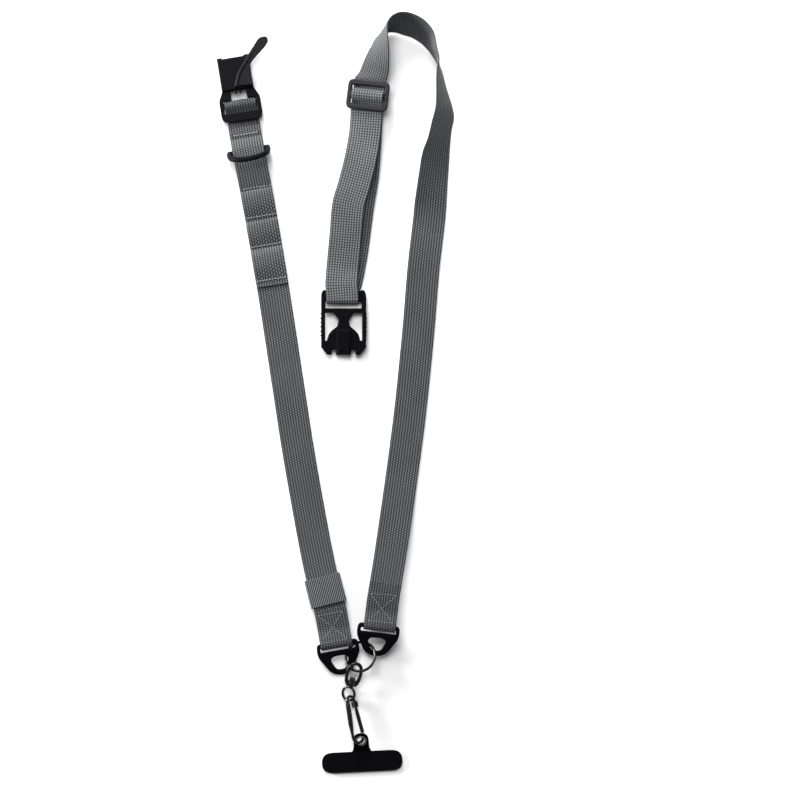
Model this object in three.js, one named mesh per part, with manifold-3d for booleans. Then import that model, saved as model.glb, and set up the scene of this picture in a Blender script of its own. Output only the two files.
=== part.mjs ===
// A phone crossbody strap lying flat: two webbing arms, an arch that stands on edge, a slider, a buckle pair,
// gear loops with a D-ring, and a chain of rings, swivel, snap hook and tether patch at the lower end.
// Sizes are in millimetres. X runs across the strap, Y from the chain towards the arch, Z up from the surface.
import * as THREE from "three";
import { mergeVertices } from "three/addons/utils/BufferGeometryUtils.js";
import Module from "manifold-3d";

const wasm = await Module();
wasm.setup();

const gap = 0.3;

// Webbing
const webWidth = 25;
const webThickness = 1.3;
const layer = webThickness + gap;
const webMiddle = webThickness / 2;

// The two arms start at the bars of their triangle rings
const leftLength = 427.6;
const leftHeading = -10.25;
const leftFlap = 28;
const leftLift = 100;
const leftTwist = 60;
const rightLength = 325;
const rightHeading = 7;
const rightFlap = 34;
const rightLift = 120;
const rightTwist = 80;
const hemUnderSocket = 20;

// The arch, measured from the slider's centre bar
const archReach = 60;
const archRise = 66;

// Length between the slider's and the plug's bars
const loopLength = 160;
const loopHeading = 7.5;
const hemUnderSlider = 22;
const frontBulge = 4;

// Triangle rings
const triangleHalfWidth = 17;
const triangleLength = 26;
const triangleThickness = 2.5;
const triangleEdge = 0.7;
const triangleBar = 1.9;
const triangleSlot = 3.4;
const triangleSlotWidth = 27.4;
const triangleHole = 11.8;
const triangleHoleTop = 9.8;

// Main ring and swivel
const mainRadius = 11.9;
const mainWire = 1;
const shackleHalfWidth = 6.4;
const shackleLength = 18;
const shackleThickness = 2.3;
const shackleBarrel = 2.6;
const shackleBarrelLength = 3.8;
const postRadius = 1.1;
const postHead = 2.2;
const postHeadLength = 2.4;
const eyeRadius = 5.4;
const eyeWire = 1;

// Snap hook
const hookTop = 3.2;
const hookLength = 28.5;
const hookBottom = 5;
const hookWire = 1.1;
const hookLeg = 1.9;
const gateRadius = 1.45;
const gateTop = 4.8;
const pinRadius = 0.6;
const hingeRadius = 1.7;
const hingeWidth = 1.8;
const cheekWidth = 0.8;

// Tether patch and its eyelet
const patchWidth = 63;
const patchHeight = 16;
const patchThickness = 1.1;
const tabWidth = 12;
const tabLength = 16.5;
const tabSlope = 24;
const eyeletHole = 3;
const eyeletOuter = 4.3;
const eyeletRim = 0.6;
const eyeletFromEnd = 6.2;

// D-ring and the band of gear loops
const dBar = 2;
const dHalfWidth = 15.1;
const dDepth = 18;
const dWire = 2.2;
const dLean = 65;
const loopHeight = 3.4;
const ringLoopHeight = 5.1;
const bandTop = 18.5;
const bandLength = 125.5;

// Keeper loop
const keeperWidth = 28.4;
const keeperLength = 23;
const keeperWall = 1.2;
const keeperPlace = 42;

// Slider
const sliderWidth = 33;
const sliderHeight = 23.5;
const sliderThickness = 3;
const sliderWindow = 14.4;
const sliderBar = 1.5;
const sliderRoll = 9;

// Plug buckle, from its webbing bar
const plugHalfWidth = 17.5;
const plugTop = 7.4;
const plugLength = 43.2;
const plugThickness = 5.6;
const plugRail = 3.1;
const plugBar = 1.9;
const plugSlot = 6.9;
const plugSlotWidth = 28.2;
const plugShift = 0.9;
const plugCrossBar = 3.5;
const plugChamfer = 4.8;

// Socket buckle, from its webbing bar
const socketHalfWidth = 12.4;
const socketTop = 36;
const socketShoulder = 10.6;
const socketThickness = 9;
const socketWall = 1.7;
const ladderHalfWidth = 16;
const ladderTop = 4.4;
const ladderBottom = 13.4;
const ladderBar = 6.4;
const ladderRail = 2.9;
const ladderThickness = 6.6;
const socketBar = 1.75;
const socketTurned = 9.3;
const tabRubber = 2.2;

const inner = (webWidth + 1) / 2;
const turnOf = (barRadius) => barRadius + gap + webMiddle;
const radians = THREE.MathUtils.degToRad;
const upward = new THREE.Vector3(0, 0, 1);

// The smooth value of a table's column at a place along it.
function between(rows, column, place) {
  const last = rows.length - 1;
  const at = THREE.MathUtils.clamp(place, rows[0].at, rows[last].at);
  let i = 0;
  while (i < last - 1 && at > rows[i + 1].at) i += 1;
  const slope = (k) => {
    const before = rows[Math.max(k - 1, 0)];
    const after = rows[Math.min(k + 1, last)];
    return (after[column] - before[column]) / (after.at - before.at);
  };
  const span = rows[i + 1].at - rows[i].at;
  const t = (at - rows[i].at) / span;
  const start = rows[i][column];
  const end = rows[i + 1][column];
  const stay = (1 + 2 * t) * (1 - t) ** 2;
  const leave = t * (1 - t) ** 2 * slope(i) * span;
  const arrive = t * t * (t - 1) * slope(i + 1) * span;
  return start * stay + end * (1 - stay) + leave + arrive;
}

const ease = (value, from, to) => THREE.MathUtils.smoothstep(value, from, to);

function solid(geometry) {
  const bare = geometry.clone();
  for (const name of Object.keys(bare.attributes)) {
    if (name !== "position") bare.deleteAttribute(name);
  }
  const merged = mergeVertices(bare, 1e-4);
  return new wasm.Manifold(
    new wasm.Mesh({
      numProp: 3,
      vertProperties: new Float32Array(merged.attributes.position.array),
      triVerts: new Uint32Array(merged.index.array),
    }),
  );
}

function geometryOf(made) {
  const mesh = made.getMesh();
  const geometry = new THREE.BufferGeometry();
  geometry.setAttribute("position", new THREE.BufferAttribute(mesh.vertProperties, 3));
  geometry.setIndex(new THREE.BufferAttribute(mesh.triVerts, 1));
  geometry.computeVertexNormals();
  return geometry;
}

const joined = (...parts) => geometryOf(parts.map(solid).reduce((all, next) => all.add(next)));
const without = (body, ...tools) =>
  geometryOf(tools.map(solid).reduce((all, next) => all.subtract(next), solid(body)));

function box(width, length, height, x, y, z) {
  return new THREE.BoxGeometry(width, length, height).translate(x, y, z);
}

// A plate with the given outline, its middle at height z.
function plate(shape, thickness, z = 0, bevel = 0) {
  const geometry = new THREE.ExtrudeGeometry(shape, {
    depth: thickness - 2 * bevel,
    bevelEnabled: bevel > 0,
    bevelThickness: bevel,
    bevelSize: bevel,
    bevelOffset: -bevel,
    bevelSegments: 1,
    curveSegments: 6,
  });
  return geometry.translate(0, 0, z - thickness / 2 + bevel);
}

// A shape with straight sides and round corners, from points { x, y, round }.
function outline(points) {
  const shape = new THREE.Shape();
  points.forEach((corner, i) => {
    const before = points[(i + points.length - 1) % points.length];
    const after = points[(i + 1) % points.length];
    const here = new THREE.Vector2(corner.x, corner.y);
    const towards = (other) => {
      const way = new THREE.Vector2(other.x, other.y).sub(here);
      return here.clone().add(way.setLength(Math.min(corner.round ?? 0, way.length() * 0.49)));
    };
    const start = towards(before);
    const end = towards(after);
    if (i === 0) shape.moveTo(start.x, start.y);
    else shape.lineTo(start.x, start.y);
    if (corner.round) shape.quadraticCurveTo(here.x, here.y, end.x, end.y);
  });
  shape.closePath();
  return shape;
}

const mirrored = (half) => [...half, ...half.map((p) => ({ ...p, x: -p.x })).reverse()];

function rectangle(width, bottom, top, round = 0) {
  const half = width / 2;
  return outline(
    mirrored([
      { x: half, y: bottom, round },
      { x: half, y: top, round },
    ]),
  );
}

// Bends a straight box or cylinder so that its rows follow frames of a point and the direction across.
function bent(straight, frames, sizeAt) {
  const last = frames.length - 1;
  const along = frames.map((_, i) =>
    frames[Math.min(i + 1, last)].point.clone().sub(frames[Math.max(i - 1, 0)].point).normalize(),
  );
  const place = straight.getAttribute("position");
  const v = new THREE.Vector3();
  for (let i = 0; i < place.count; i += 1) {
    v.fromBufferAttribute(place, i);
    const row = Math.round((v.y + 0.5) * last);
    const { point, across } = frames[row];
    const normal = across.clone().cross(along[row]).normalize();
    const size = sizeAt(row / last);
    const there = point.clone().addScaledVector(across, v.x * size.x).addScaledVector(normal, v.z * size.z);
    place.setXYZ(i, there.x, there.y, there.z);
  }
  return straight;
}

function ribbon(frames, width = webWidth, thickness = webThickness) {
  const strip = new THREE.BoxGeometry(1, 1, 1, 1, frames.length - 1, 1);
  return bent(strip, frames, () => ({ x: width, z: thickness }));
}

// A round rod along a flat path in X and Y.
function rod(path, steps, radiusAt, sides = 8) {
  const frames = path.getSpacedPoints(steps).map((p, i, all) => {
    const from = all[Math.max(i - 1, 0)];
    const to = all[Math.min(i + 1, all.length - 1)];
    const across = new THREE.Vector3(to.y - from.y, from.x - to.x, 0).normalize();
    return { point: new THREE.Vector3(p.x, p.y, 0), across };
  });
  const straight = new THREE.CylinderGeometry(1, 1, 1, sides, steps);
  return bent(straight, frames, (share) => ({ x: radiusAt(share), z: radiusAt(share) }));
}

// A cylinder along X, Y or Z.
function pin(radius, length, axis, sides = 16) {
  const made = new THREE.CylinderGeometry(radius, radius, length, sides);
  if (axis === "x") made.rotateZ(Math.PI / 2);
  if (axis === "z") made.rotateX(Math.PI / 2);
  return made;
}

// The course of a strap over the surface, as a function of the distance from its start. Its rows hold the drift
// to the right of a straight line, as a share of the length.
function course({ start, heading, length, rows, roll = () => 0, edgeDown = 0 }) {
  const ahead = new THREE.Vector3(Math.sin(radians(heading)), Math.cos(radians(heading)), 0);
  const right = new THREE.Vector3(ahead.y, -ahead.x, 0);
  const centre = (s) =>
    start
      .clone()
      .addScaledVector(ahead, s)
      .addScaledVector(right, length * between(rows, "drift", s / length));
  return (s) => {
    const near = THREE.MathUtils.clamp(s, 1, length - 1);
    const along = centre(near + 1).sub(centre(near - 1)).normalize();
    const level = new THREE.Vector3(along.y, -along.x, 0);
    const tilt = radians(roll(s));
    const across = level.clone().applyAxisAngle(along, tilt);
    const up = upward.clone().applyAxisAngle(along, tilt);
    const lift = (edgeDown * Math.abs(Math.sin(tilt)) * webWidth) / 2;
    const inside = THREE.MathUtils.clamp(s, 0, length);
    const origin = centre(inside).addScaledVector(along, s - inside);
    return { origin: origin.addScaledVector(upward, lift), along, across, up };
  };
}

// Frames of webbing laid along a course, from steps of distance s and height z.
const laid = (line, steps) =>
  steps.map(({ s, z }) => {
    const { origin, across, up } = line(s);
    return { point: origin.addScaledVector(up, z), across };
  });

// Steps along a stretch, with the height given by a function of the distance.
function stretch(from, to, height, step = 12) {
  const count = Math.max(1, Math.ceil(Math.abs(to - from) / step));
  return Array.from({ length: count + 1 }, (_, i) => {
    const s = THREE.MathUtils.lerp(from, to, i / count);
    return { s, z: height(s) };
  });
}

// Steps round a bar, between two angles measured from the way ahead.
function wrap(s, z, radius, from, to) {
  const count = Math.round(Math.abs(to - from) / 22.5);
  return Array.from({ length: count + 1 }, (_, i) => {
    const angle = radians(THREE.MathUtils.lerp(from, to, i / count));
    return { s: s + radius * Math.cos(angle), z: z + radius * Math.sin(angle) };
  });
}

const ringTurn = turnOf(Math.hypot(triangleBar, triangleThickness / 2 - triangleEdge));
const leftBar = { x: -18.7, y: 10.9, z: 9.1, turn: 10, tilt: 17.9, roll: 1.3, order: "ZYX", shift: 0.8 };
const rightBar = { x: 14.8, y: 24.8, z: 14.4, turn: -7, tilt: 24.6, roll: 2.2, order: "ZYX", shift: -0.1 };

const leftRows = [
  { at: 0, drift: 0 },
  { at: 0.06, drift: 0 },
  { at: 0.14, drift: -0.005 },
  { at: 0.22, drift: -0.0065 },
  { at: 0.36, drift: -0.006 },
  { at: 0.46, drift: -0.0035 },
  { at: 0.67, drift: 0.002 },
  { at: 0.81, drift: 0.0033 },
  { at: 0.93, drift: 0.0024 },
  { at: 1, drift: 0.003 },
];
const leftCourse = course({
  start: new THREE.Vector3(leftBar.x, leftBar.y, 0),
  heading: leftHeading,
  length: leftLength,
  rows: leftRows,
  roll: (s) => leftBar.roll * (1 - ease(s, 0, leftTwist)),
});

const rightRows = [
  { at: 0, drift: 0 },
  { at: 0.06, drift: 0.0004 },
  { at: 0.16, drift: 0.005 },
  { at: 0.3, drift: 0.0085 },
  { at: 0.44, drift: 0.0105 },
  { at: 0.54, drift: 0.0105 },
  { at: 0.72, drift: 0.0065 },
  { at: 0.87, drift: 0.0005 },
  { at: 1, drift: 0 },
];
const rightCourse = course({
  start: new THREE.Vector3(rightBar.x, rightBar.y, 0),
  heading: rightHeading,
  length: rightLength,
  rows: rightRows,
  roll: (s) => rightBar.roll * (1 - ease(s, 0, rightTwist)),
});

// Height of an arm's middle: it rises from the surface to pass under its ring's bar.
const armHeight = (barHeight, lift, rest) => (s) =>
  rest + (barHeight - ringTurn - rest) * (1 - ease(s, 0, lift));

// A folded end: the flap lies on the arm, opens round the bar and runs on as the arm.
function foldedEnd(barHeight, flap, height) {
  const opening = 13;
  const above = (s) => height(s) + layer + (2 * ringTurn - layer) * (1 - ease(s, 0, opening));
  return [...stretch(flap, opening, above, 8), ...stretch(opening, 0, above, 3).slice(1, -1)].concat(
    wrap(0, barHeight, ringTurn, 90, 270),
  );
}

const socketTurn = turnOf(socketBar);
const socketBarHeight = webMiddle + socketTurn;
const leftRest = armHeight(leftBar.z, leftLift, webMiddle);
const hemStart = leftLength - hemUnderSocket;
const leftHeight = (s) =>
  leftRest(s) +
  layer * ease(s, hemStart - 14, hemStart - 2) +
  (2 * socketTurn - layer) * ease(s, leftLength - 7.3, leftLength - 0.3);

function leftStrap() {
  return ribbon(
    laid(leftCourse, [
      ...foldedEnd(leftBar.z, leftFlap, leftRest),
      ...stretch(0, leftLift, leftRest, 10).slice(1),
      ...stretch(leftLift, hemStart - 14, leftHeight, 14).slice(1),
      ...stretch(hemStart - 14, leftLength - 8, leftHeight, 3).slice(1),
      ...stretch(leftLength - 8, leftLength, leftHeight, 1.3).slice(1, -1),
      ...wrap(leftLength, socketBarHeight, socketTurn, 90, -90),
      ...stretch(leftLength, hemStart, () => webMiddle, 7).slice(1),
    ]),
  );
}

// The band's stitch rows and the loops that stand up between them, as shares of its length from the top end.
const bandRows = [
  { from: 0, to: 0.068, rise: 0 },
  { from: 0.068, to: 0.394, rise: ringLoopHeight, peak: 0.25 },
  { from: 0.394, to: 0.586, rise: loopHeight, peak: 0.5 },
  { from: 0.586, to: 0.761, rise: loopHeight, peak: 0.5 },
  { from: 0.761, to: 0.976, rise: loopHeight, peak: 0.5 },
  { from: 0.976, to: 1, rise: 0 },
].map((row) => ({
  ...row,
  from: bandTop + row.from * bandLength,
  to: bandTop + row.to * bandLength,
}));
const ringLoop = bandRows[1];
const dPlace = leftLength - THREE.MathUtils.lerp(ringLoop.from, ringLoop.to, ringLoop.peak);

function gearLoopBand() {
  const steps = bandRows.flatMap((row, i) => {
    const bump = (s) => {
      if (row.rise === 0) return 0;
      const share = (leftLength - s - row.from) / (row.to - row.from);
      const side = share < row.peak ? share / row.peak : (1 - share) / (1 - row.peak);
      return row.rise * Math.sin((Math.PI / 2) * Math.min(1, side * 1.15));
    };
    const height = (s) => leftHeight(s) + layer + bump(s);
    const made = stretch(leftLength - row.from, leftLength - row.to, height, 2.6);
    return i === 0 ? made : made.slice(1);
  });
  return ribbon(laid(leftCourse, steps.reverse()));
}

function keeperLoop() {
  const hollow = webThickness + 3 * gap;
  const height = hollow + 2 * keeperWall;
  const tube = plate(rectangle(keeperWidth, -height / 2, height / 2, 1.4), keeperLength);
  const bore = plate(rectangle(keeperWidth - 2 * keeperWall, -hollow / 2, hollow / 2), keeperLength + 2);
  return without(tube, bore).rotateX(Math.PI / 2);
}

function dRing() {
  const bow = new THREE.Path();
  const corner = 4;
  bow.moveTo(-dHalfWidth, 0);
  bow.lineTo(-dHalfWidth, corner);
  bow.bezierCurveTo(-dHalfWidth, dDepth * 0.8, -dHalfWidth * 0.6, dDepth, 0, dDepth);
  bow.bezierCurveTo(dHalfWidth * 0.6, dDepth, dHalfWidth, dDepth * 0.8, dHalfWidth, corner);
  bow.lineTo(dHalfWidth, 0);
  const knob = () => new THREE.SphereGeometry(dWire, 8, 8);
  return joined(
    rod(bow, 26, () => dWire),
    pin(dBar, 2 * dHalfWidth, "x", 12),
    knob().translate(-dHalfWidth, 0, 0),
    knob().translate(dHalfWidth, 0, 0),
  );
}

// A triangle ring lies below its bar: slot, crossbar, round-cornered hole and rim.
function triangleRing() {
  const halfWidth = triangleHalfWidth;
  const face = outline(
    mirrored([
      { x: halfWidth - 1, y: triangleBar, round: 3 },
      { x: halfWidth, y: -8, round: 5 },
      { x: halfWidth * 0.42, y: -triangleLength, round: 7 },
    ]).reverse(),
  );
  const slotTop = -triangleBar;
  face.holes.push(rectangle(triangleSlotWidth, slotTop - triangleSlot, slotTop, 0.6));
  const holeHalf = triangleHole * 0.62;
  face.holes.push(
    outline(
      mirrored([
        { x: holeHalf * 0.6, y: -triangleHoleTop, round: 3 },
        { x: holeHalf, y: -triangleHoleTop - 2.6, round: 2.4 },
        { x: holeHalf * 0.5, y: -triangleHoleTop - triangleHole, round: 3 },
      ]).reverse(),
    ),
  );
  return plate(face, triangleThickness, 0, triangleEdge);
}

// The stirrup opens upwards in Y, with the post's barrel at its origin.
function swivelShackle() {
  const egg = (grow) => {
    const half = shackleHalfWidth - grow;
    const shape = new THREE.Shape();
    const top = shackleLength - grow;
    const low = grow === 0 ? -shackleBarrelLength / 2 : shackleBarrelLength / 2;
    const foot = grow === 0 ? 3.6 : 2.4;
    shape.moveTo(foot, low);
    shape.bezierCurveTo(half, low + 2, half, 6, half, 8.5);
    shape.bezierCurveTo(half, top - 2.5, half * 0.6, top, 0, top);
    shape.bezierCurveTo(-half * 0.6, top, -half, top - 2.5, -half, 8.5);
    shape.bezierCurveTo(-half, 6, -half, low + 2, -foot, low);
    shape.closePath();
    return shape;
  };
  const face = egg(0);
  face.holes.push(egg(2.2));
  const frame = plate(face, shackleThickness, 0, 0.4);
  const barrel = pin(shackleBarrel, shackleBarrelLength, "y", 12);
  const bore = pin(postRadius + gap, shackleBarrelLength + 4, "y");
  return without(joined(frame, barrel), bore);
}

function swivelEye() {
  const base = shackleBarrelLength / 2;
  const centre = -base - gap - eyeRadius - eyeWire;
  const ring = new THREE.TorusGeometry(eyeRadius, eyeWire, 8, 20).translate(0, centre, 0);
  const post = pin(postRadius, 2 * base + 2 * gap + 1.8, "y").translate(0, -0.9 + gap / 2, 0);
  const collar = pin(postHead, 1.1, "y").translate(0, -base - gap - 0.55, 0);
  const head = pin(postHead, postHeadLength, "y").translate(0, base + gap + postHeadLength / 2, 0);
  return joined(ring, post, collar, head);
}

// The hook hangs below the middle of its top bend; its gate closes the right side.
const noseHeight = -hookLength + 1.4;
const gateBottom = noseHeight + 2 * gap;

function hookBody() {
  const wire = new THREE.Path();
  wire.moveTo(hookTop, -2.2);
  wire.lineTo(hookTop, 0);
  wire.absarc(0, 0, hookTop, 0, Math.PI, false);
  wire.bezierCurveTo(-hookTop, -6, -hookBottom + 0.2, -hookLength * 0.6, -hookBottom, -hookLength);
  wire.absarc(0, -hookLength, hookBottom, Math.PI, 2 * Math.PI, false);
  wire.lineTo(hookBottom, noseHeight);
  const thick = (share) => {
    const leg = ease(share, 0.17, 0.3) * (1 - ease(share, 0.5, 0.66));
    return hookWire + (hookLeg - hookWire) * leg;
  };
  const reach = hingeWidth / 2 + gap;
  const cheekHeight = hingeRadius + gap + 0.6;
  const bridge = box(2 * hingeRadius, 1.2, 2 * (reach + cheekWidth), hookTop, -gateTop + cheekHeight, 0);
  const cheeks = [-1, 1].flatMap((side) => {
    const z = side * (reach + cheekWidth / 2);
    return [
      pin(hingeRadius, cheekWidth, "z").translate(hookTop, -gateTop, z),
      box(2 * hingeRadius, cheekHeight, cheekWidth, hookTop, -gateTop + cheekHeight / 2, z),
    ];
  });
  const rivet = pin(pinRadius, 2 * (reach + cheekWidth), "z").translate(hookTop, -gateTop, 0);
  return joined(rod(wire, 44, thick), bridge, ...cheeks, rivet);
}

// The gate turns about its own origin.
function hookGate() {
  const arm = new THREE.Path();
  arm.moveTo(0.3, -1);
  arm.lineTo(hookBottom - hookTop, gateBottom + gateTop);
  const knuckle = pin(hingeRadius, hingeWidth, "z");
  const bore = pin(pinRadius + gap * 0.8, 2 * hingeWidth, "z");
  const radius = (share) => (share < 0.2 ? hingeWidth / 2 : gateRadius);
  return without(joined(rod(arm, 4, radius), knuckle), bore);
}

// The patch lies flat and its tab slopes up to the hook.
function phonePatch() {
  const body = rectangle(patchWidth, -patchHeight / 2, patchHeight / 2, patchHeight * 0.55);
  const flat = plate(body, patchThickness, patchThickness / 2);
  const tab = outline([
    { x: -tabWidth / 2 - 3, y: -2.5 },
    { x: tabWidth / 2 + 3, y: -2.5 },
    { x: tabWidth / 2, y: 3, round: 3 },
    { x: tabWidth / 2, y: tabLength, round: tabWidth * 0.55 },
    { x: -tabWidth / 2, y: tabLength, round: tabWidth * 0.55 },
    { x: -tabWidth / 2, y: 3, round: 3 },
  ]);
  tab.holes.push(circle(eyeletHole + eyeletRim + 1.5 * gap, 0, tabLength - eyeletFromEnd));
  const raised = plate(tab, patchThickness, patchThickness / 2).rotateX(radians(tabSlope));
  const surface = box(patchWidth, 4 * patchHeight, tabLength, 0, 0, -tabLength / 2);
  return without(joined(flat, raised.translate(0, patchHeight / 2, 0)), surface);
}

function circle(radius, x, y) {
  return new THREE.Path().absarc(x, y, radius, 0, 2 * Math.PI, false);
}

function patchEyelet() {
  const flange = patchThickness / 2 + gap;
  const profile = [
    [eyeletHole, -flange - 0.5],
    [eyeletOuter, -flange - 0.3],
    [eyeletOuter, -flange],
    [eyeletHole + eyeletRim, -flange],
    [eyeletHole + eyeletRim, flange],
    [eyeletOuter, flange],
    [eyeletOuter, flange + 0.3],
    [eyeletHole, flange + 0.5],
    [eyeletHole, -flange - 0.5],
  ].map(([x, y]) => new THREE.Vector2(x, y));
  return new THREE.LatheGeometry(profile, 20).rotateX(Math.PI / 2);
}

// The slider lies about its centre bar, which sits level with the frame.
function strapSlider() {
  const face = rectangle(sliderWidth, -sliderHeight / 2, sliderHeight / 2, 5);
  face.holes.push(rectangle(2 * inner, -sliderWindow / 2, sliderWindow / 2, 1.2));
  const bar = pin(sliderBar, 2 * inner + 3, "x", 12);
  return joined(plate(face, sliderThickness, 0, 0.7), bar);
}

// The plug's outline, webbing slot, two windows and end notches.
function plugBuckle() {
  const low = -plugLength;
  const windowTop = -plugSlot - plugCrossBar;
  const railX = plugHalfWidth - plugRail;
  const notch = 2.2;
  const face = outline(
    mirrored([
      { x: plugHalfWidth - 1.4, y: plugTop, round: 1 },
      { x: plugHalfWidth, y: plugTop - 3, round: 1 },
      { x: plugHalfWidth, y: low + 6, round: 0.6 },
      { x: plugHalfWidth - plugChamfer, y: low },
      { x: 9.2, y: low },
      { x: 9.2, y: low + 4 },
      { x: 9.2 - 1.5 * notch, y: low + 4 },
      { x: 9.2 - 1.5 * notch, y: low },
    ]).reverse(),
  );
  const windowRows = [
    { x: 7.8, y: 0 },
    { x: 3.7, y: -5.7, round: 1.5 },
    { x: 5, y: -10.6, round: 1 },
    { x: 9, y: -13.6 },
    { x: 11.6, y: -16.8 },
    { x: 13, y: -21.8 },
    { x: railX, y: -21.8 },
    { x: railX, y: 0 },
  ];
  for (const side of [-1, 1]) {
    face.holes.push(outline(windowRows.map((p) => ({ ...p, x: side * p.x, y: windowTop + p.y }))));
  }
  const body = plate(face, plugThickness, plugThickness / 2, 0.6);
  const deep = 3 * plugThickness;
  const middle = plugThickness / 2;
  const slot = box(plugSlotWidth, plugSlot - plugBar, deep, 0, -(plugSlot + plugBar) / 2, middle);
  const under = box(plugSlotWidth, plugTop + plugBar + 2, deep, 0, (plugTop - plugBar) / 2 + 1, middle);
  const barHeight = plugTurn + webMiddle - plugLift;
  const bar = plate(rectangle(plugSlotWidth + 1, 0, plugTop - 0.6), 2 * plugBar - 0.4, barHeight, 0.5);
  const nose = pin(plugBar, plugSlotWidth + 1, "x", 12).translate(0, 0, barHeight);
  const tongue = box(10, 19, 1.4, 0, low + 9.6, plugThickness + 0.4);
  return joined(without(body, slot, under), bar, nose, tongue);
}

const plugTurn = turnOf(plugBar);
const plugLift = 0.3;

// The socket's hollow body stands on two arms above a ladder frame that holds the webbing.
function socketBuckle() {
  const half = socketHalfWidth;
  const height = socketTop - socketShoulder;
  const foldEnd = socketTurn + webMiddle + gap;
  const middle = socketThickness / 2;
  const shell = plate(rectangle(2 * half, socketShoulder, socketTop, 1.5), socketThickness, middle, 0.8);
  const mouth = box(
    2 * (half - socketWall),
    height + 4,
    socketThickness - 2 * socketWall,
    0,
    socketShoulder + height / 2,
    middle,
  );
  const bead = (side) => box(4, 2.2, socketThickness - 1, side * (half - 1.9), socketTop - 0.2, middle);
  const arm = (side) => {
    const shape = outline([
      { x: side * 6.2, y: socketShoulder + 1.5 },
      { x: side * 6.2, y: foldEnd },
      { x: side * (ladderHalfWidth - ladderRail), y: foldEnd },
      { x: side * half, y: socketShoulder + 1.5 },
    ]);
    return plate(shape, ladderThickness, ladderThickness / 2);
  };
  const frame = outline(
    mirrored([
      { x: half - 0.4, y: socketShoulder + 1 },
      { x: ladderHalfWidth, y: ladderTop - 0.4, round: 2 },
      { x: ladderHalfWidth, y: -ladderBottom + 3, round: 2 },
      { x: ladderHalfWidth - 2.6, y: -ladderBottom, round: 2 },
    ]).reverse(),
  );
  const window = new THREE.Path();
  window.setFromPoints(
    outline(
      mirrored([
        { x: 6.2, y: socketShoulder + 0.4 },
        { x: 6.2, y: foldEnd },
        { x: ladderHalfWidth - ladderRail, y: foldEnd },
        { x: ladderHalfWidth - ladderRail, y: -ladderBottom + ladderBar },
      ]).reverse(),
    ).getPoints(),
  );
  frame.holes.push(window);
  const ladder = plate(frame, ladderThickness, ladderThickness / 2, 0);
  const strapWayAt = -ladderBottom + ladderBar / 2;
  const strapWay = box(2 * inner, ladderBar + 3, 2 * layer + 2, 0, strapWayAt, layer - 1);
  const bar = pin(socketBar, 2 * ladderHalfWidth - 2, "x", 12).translate(0, 0, socketBarHeight);
  const toothMiddle = socketThickness - socketWall - 0.2;
  const teeth = [-1.6, 1.6].map((x) => box(1.4, 4, 2, x, socketShoulder - 1, toothMiddle));
  const notch = box(2, 3, 3, -half, 29, middle);
  const hollow = without(joined(shell, bead(-1), bead(1)), mouth, notch);
  return joined(hollow, without(ladder, strapWay), arm(-1), arm(1), bar, ...teeth);
}

// The tab's edges across the socket, as shares of the socket's half width and top, from its root to its paddle.
const tabRows = [
  { left: -0.18, leftY: 0.36, right: 0.96, rightY: 0.34 },
  { left: 0.0, leftY: 0.52, right: 0.98, rightY: 0.54 },
  { left: 0.2, leftY: 0.67, right: 0.98, rightY: 0.75 },
  { left: 0.58, leftY: 0.83, right: 1.37, rightY: 0.9 },
  { left: 1.0, leftY: 1.0, right: 1.77, rightY: 1.01 },
  { left: 1.42, leftY: 1.16, right: 2.15, rightY: 1.12 },
  { left: 1.72, leftY: 1.28, right: 2.36, rightY: 1.2 },
];

function pullTab() {
  const edge = (x, y) => tabRows.map((row) => new THREE.Vector2(row[x] * socketHalfWidth, row[y] * socketTop));
  const left = new THREE.SplineCurve(edge("left", "leftY")).getPoints(14);
  const right = new THREE.SplineCurve(edge("right", "rightY")).getPoints(14).reverse();
  const shape = new THREE.Shape();
  shape.setFromPoints(left);
  const end = tabRows[tabRows.length - 1];
  const tip = new THREE.Vector2((end.left + end.right) * 0.5 + 0.12, 0.5 * (end.leftY + end.rightY) + 0.09);
  shape.bezierCurveTo(
    left[14].x + 1.6,
    left[14].y + 1.8,
    tip.x * socketHalfWidth - 1.5,
    tip.y * socketTop,
    tip.x * socketHalfWidth,
    tip.y * socketTop,
  );
  shape.bezierCurveTo(
    tip.x * socketHalfWidth + 2.5,
    tip.y * socketTop - 0.3,
    right[0].x + 0.6,
    right[0].y + 2.6,
    right[0].x,
    right[0].y,
  );
  right.slice(1).forEach((p) => shape.lineTo(p.x, p.y));
  return plate(shape, tabRubber, socketThickness + 0.4 + gap + tabRubber / 2, 0.5);
}

const root = new THREE.Group();
const object = new THREE.Group();
root.add(object);

const looks = {
  webbing: { color: 0x6a6c6f, roughness: 0.9, metalness: 0 },
  moulded: { color: 0x2a2830, roughness: 0.45, metalness: 0 },
  rubber: { color: 0x2c2a32, roughness: 0.7, metalness: 0 },
  metal: { color: 0x1b1b1d, roughness: 0.25, metalness: 0.9 },
  grommet: { color: 0xa39c90, roughness: 0.3, metalness: 1 },
  patch: { color: 0x232326, roughness: 0.8, metalness: 0 },
};

// Puts a piece at a place, turned in plan, then tilted about its own X and rolled about its own Y, in degrees.
function put(name, geometry, look, { x = 0, y = 0, z = 0, turn = 0, tilt = 0, roll = 0, order = "ZXY" } = {}) {
  const mesh = new THREE.Mesh(geometry, new THREE.MeshStandardMaterial(looks[look]));
  mesh.name = name;
  mesh.rotation.set(radians(tilt), radians(roll), radians(turn), order);
  mesh.position.set(x, y, z);
  object.add(mesh);
  return mesh;
}

// A mesh placed on a strap's course, with its X across and its Z up from the webbing.
function onCourse(name, geometry, look, line, s, z) {
  const mesh = put(name, geometry, look);
  const { origin, along, across, up } = line(s);
  mesh.quaternion.setFromRotationMatrix(new THREE.Matrix4().makeBasis(across, along, up));
  mesh.position.copy(origin).addScaledVector(up, z);
  return mesh;
}

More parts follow.
